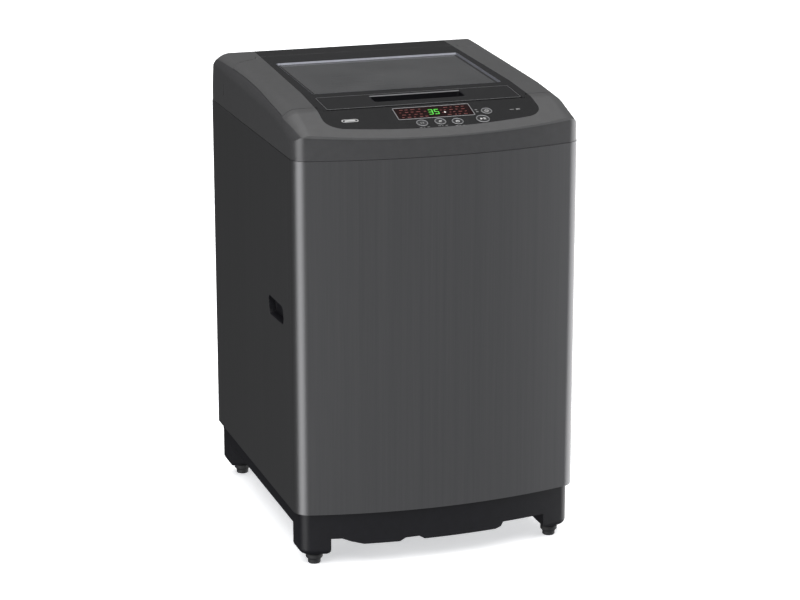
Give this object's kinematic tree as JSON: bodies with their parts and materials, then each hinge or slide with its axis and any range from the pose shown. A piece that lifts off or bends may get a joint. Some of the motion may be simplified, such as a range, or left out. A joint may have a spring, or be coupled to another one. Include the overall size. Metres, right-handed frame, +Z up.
{
  "type": "top load washing machine",
  "caption": "Top load washing machine with a bowed front, sloping control panel, hinged glass lid, sprung tub, spinning basket, agitator and levelling feet.",
  "frame": {"origin": "on the floor under the centre of the machine's box", "axes": "+Z up, the front faces -Y, +X to the right of a person facing the front"},
  "size_m": [0.6, 0.682, 0.9513],
  "materials": {
    "steel_body": "fine vertical brushed dark silver",
    "grey_plastic": "satin dark silver moulding",
    "light_grey": "satin silver moulding",
    "black_base": "fine textured black",
    "black_gloss": "gloss black",
    "display": "dark red window",
    "button_ring": "satin chrome",
    "tinted_glass": "grey tinted tempered glass",
    "rubber": "matt",
    "galvanised": "galvanised sheet",
    "stainless": "stainless, satin",
    "white_plastic": "natural polypropylene",
    "blue_plastic": "blue valve body",
    "red_plastic": "red valve body",
    "steel": "zinc plated steel",
    "aluminium": "die cast",
    "copper_core": "wound coils on laminated core",
    "board": "printed circuit board",
    "magnet_ring": "painted pressed steel",
    "pulsator_grey": "grey polypropylene"
  },
  "bodies": {
    "cabinet_body": {"cabinet": "steel_body", "rear_panel": "galvanised", "base": "black_base", "cabinet_screws": "steel", "handhold_left": "black_base", "handhold_right": "black_base", "top_cover": "grey_plastic", "front_fascia": "light_grey", "control_panel": "black_gloss", "display_window": "display", "control_board": "board", "rear_cover": "light_grey", "rear_band": "black_gloss", "water_inlet_box": "white_plastic", "inlet_valve_cold": "blue_plastic", "inlet_valve_hot": "red_plastic", "power_gland": "black_base", "pressure_sensor": "white_plastic", "drain_pipe": "black_base", "suspension_hangers": "steel", "suspension_rods": "steel", "suspension_springs": "steel", "lid_lock": "white_plastic", "detergent_housing": "white_plastic"},
    "lid": {"lid_frame": "light_grey", "lid_band": "black_gloss", "lid_front_panel": "black_gloss", "lid_handle": "black_base", "lid_glass": "tinted_glass", "lid_gasket": "rubber", "lid_hinge_pins": "steel", "lid_strike": "steel", "lid_bumpers": "rubber"},
    "lock_slider": {"lock_bolt": "steel"},
    "drawer": {"detergent_drawer": "white_plastic"},
    "programme_key": {"button_programme": "button_ring"},
    "water_level_key": {"button_water_level": "button_ring"},
    "delay_key": {"button_delay": "button_ring"},
    "power_key": {"button_power": "button_ring"},
    "start_key": {"button_start": "button_ring"},
    "tub": {"outer_tub": "white_plastic", "tub_cover": "white_plastic", "gear_housing": "aluminium", "bearings": "steel", "motor_stator": "copper_core", "drain_valve": "black_base"},
    "spin_basket": {"basket": "stainless", "basket_hub": "aluminium", "balance_ring": "white_plastic", "lint_filters": "pulsator_grey"},
    "agitator": {"pulsator": "pulsator_grey", "pulsator_cap": "pulsator_grey", "drive_shaft": "steel", "motor_rotor": "magnet_ring"},
    "front_left_foot": {"foot_front_left": "rubber"},
    "front_right_foot": {"foot_front_right": "rubber"},
    "rear_left_foot": {"foot_rear_left": "rubber"},
    "rear_right_foot": {"foot_rear_right": "rubber"}
  },
  "joints": [
    {"name": "lid_hinge", "type": "hinge", "parent": "cabinet_body", "child": "lid", "pos_m": [0, 0.236, 0.9453], "axis": [-1, 0, 0], "range_deg": [0, 88]},
    {"name": "lock_slide", "type": "slide", "parent": "cabinet_body", "child": "lock_slider", "axis": [0, 1, 0], "range_m": [0, 0.008]},
    {"name": "drawer_slide", "type": "slide", "parent": "cabinet_body", "child": "drawer", "axis": [0, 1, 0], "range_m": [0, 0.065]},
    {"name": "tub_suspension", "type": "slide", "parent": "cabinet_body", "child": "tub", "axis": [0, 0, 1], "range_m": [-0.015, 0.015], "stiffness_N_per_m": 12000, "springref_m": 0.02798, "deforming": ["suspension_springs"]},
    {"name": "basket_spin", "type": "hinge", "parent": "tub", "child": "spin_basket", "pos_m": [0, 0.012, 0.5], "axis": [0, 0, 1], "continuous": true},
    {"name": "agitator_spin", "type": "hinge", "parent": "tub", "child": "agitator", "pos_m": [0, 0.012, 0.27], "axis": [0, 0, 1], "continuous": true},
    {"name": "programme_press", "type": "slide", "parent": "cabinet_body", "child": "programme_key", "axis": [0, 0.2915, -0.9566], "range_m": [0, 0.001], "stiffness_N_per_m": 900, "springref_m": -0.0005},
    {"name": "water_level_press", "type": "slide", "parent": "cabinet_body", "child": "water_level_key", "axis": [0, 0.2915, -0.9566], "range_m": [0, 0.001], "stiffness_N_per_m": 900, "springref_m": -0.0005},
    {"name": "delay_press", "type": "slide", "parent": "cabinet_body", "child": "delay_key", "axis": [0, 0.2915, -0.9566], "range_m": [0, 0.001], "stiffness_N_per_m": 900, "springref_m": -0.0005},
    {"name": "power_press", "type": "slide", "parent": "cabinet_body", "child": "power_key", "axis": [0, 0.2915, -0.9566], "range_m": [0, 0.001], "stiffness_N_per_m": 900, "springref_m": -0.0005},
    {"name": "start_press", "type": "slide", "parent": "cabinet_body", "child": "start_key", "axis": [0, 0.2915, -0.9566], "range_m": [0, 0.001], "stiffness_N_per_m": 900, "springref_m": -0.0005},
    {"name": "front_left_levelling", "type": "slide", "parent": "cabinet_body", "child": "front_left_foot", "axis": [0, 0, -1], "range_m": [0, 0.012]},
    {"name": "front_right_levelling", "type": "slide", "parent": "cabinet_body", "child": "front_right_foot", "axis": [0, 0, -1], "range_m": [0, 0.012]},
    {"name": "rear_left_levelling", "type": "slide", "parent": "cabinet_body", "child": "rear_left_foot", "axis": [0, 0, -1], "range_m": [0, 0.012]},
    {"name": "rear_right_levelling", "type": "slide", "parent": "cabinet_body", "child": "rear_right_foot", "axis": [0, 0, -1], "range_m": [0, 0.012]}
  ]
}
